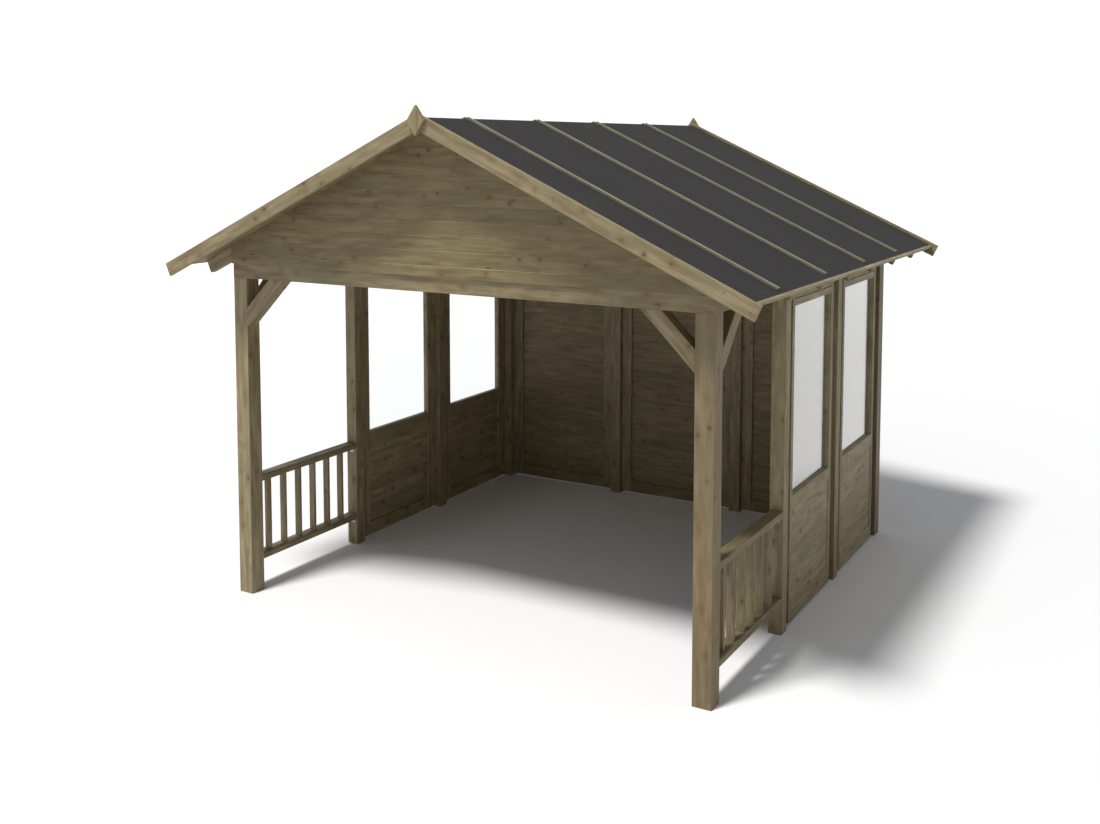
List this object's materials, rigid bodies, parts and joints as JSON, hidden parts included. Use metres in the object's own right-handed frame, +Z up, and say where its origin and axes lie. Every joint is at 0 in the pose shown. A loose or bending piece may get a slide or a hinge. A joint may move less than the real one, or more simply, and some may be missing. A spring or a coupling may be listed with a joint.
{
  "type": "garden pergola with a pitched roof",
  "caption": "Timber garden pergola with a felted pitched roof, open front, half-glazed side walls, boarded rear wall and balustraded side bays.",
  "frame": {"origin": "on the ground at the middle of the plan", "axes": "+X across the front to its right-hand side, +Y from the open front to the boarded rear wall, +Z up"},
  "size_m": [4.328, 4.19, 3.4112],
  "materials": {
    "frame_timber": "pressure-treated pine, planed",
    "cladding_timber": "pressure-treated pine boards",
    "roof_timber": "pressure-treated pine, planed",
    "trim_timber": "pressure-treated pine, planed",
    "galvanised_steel": "galvanised sheet steel",
    "roof_felt": "charcoal mineral felt",
    "glazing": "clear sheet"
  },
  "bodies": {
    "root": {"balustrade_left": "frame_timber", "balustrade_right": "frame_timber", "bargeboards_left": "trim_timber", "bargeboards_right": "trim_timber", "bay_post_left": "frame_timber", "bay_post_right": "frame_timber", "corner_post_front_left": "frame_timber", "corner_post_front_right": "frame_timber", "corner_post_rear_left": "frame_timber", "corner_post_rear_right": "frame_timber", "eaves_trim_left": "trim_timber", "eaves_trim_right": "trim_timber", "felt_battens": "trim_timber", "finials": "trim_timber", "front_beam": "frame_timber", "gable_cladding_front": "cladding_timber", "gable_cladding_rear": "cladding_timber", "knee_brace_front_left": "frame_timber", "knee_brace_front_right": "frame_timber", "knee_brace_side_left": "frame_timber", "knee_brace_side_right": "frame_timber", "rafters_left": "roof_timber", "rafters_right": "roof_timber", "rail_brackets": "galvanised_steel", "rear_beam": "frame_timber", "rear_panel_left": "cladding_timber", "rear_panel_middle": "cladding_timber", "rear_panel_right": "cladding_timber", "rear_post_left": "frame_timber", "rear_post_right": "frame_timber", "ridge_board": "roof_timber", "roof_deck_left": "roof_timber", "roof_deck_right": "roof_timber", "roof_felt_left": "roof_felt", "roof_felt_right": "roof_felt", "side_panel_left_front": "cladding_timber", "side_panel_left_rear": "cladding_timber", "side_panel_right_front": "cladding_timber", "side_panel_right_rear": "cladding_timber", "side_post_left": "frame_timber", "side_post_right": "frame_timber", "wall_plate_left": "frame_timber", "wall_plate_right": "frame_timber", "window_panes_left": "glazing", "window_panes_right": "glazing"}
  },
  "joints": []
}
